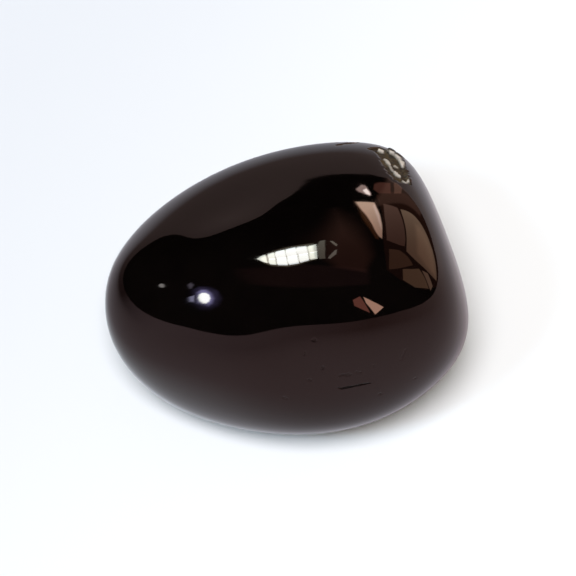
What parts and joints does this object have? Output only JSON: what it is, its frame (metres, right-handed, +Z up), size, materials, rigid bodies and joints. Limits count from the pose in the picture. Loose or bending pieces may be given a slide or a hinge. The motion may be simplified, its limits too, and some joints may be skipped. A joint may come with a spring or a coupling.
{
  "type": "polished jet stone",
  "caption": "Tumbled and polished black jet pebble: an egg-like nose, a steep blunt end, a sloping back and a small unpolished patch, lying on a small worn flat.",
  "frame": {"origin": "middle of the footprint, on the surface that the stone rests on", "axes": "+Z up; X along the long side, with the egg-like nose towards -X and the blunt end towards +X; the steep front faces -Y and the back slopes down towards +Y"},
  "size_m": [0.0318, 0.0286, 0.0228],
  "materials": {
    "polished_jet": "black-brown jet, tumbled and polished to a wet-looking gloss, with a small matt unpolished patch at the upper right shoulder"
  },
  "bodies": {
    "root": {"stone": "polished_jet"}
  },
  "joints": []
}
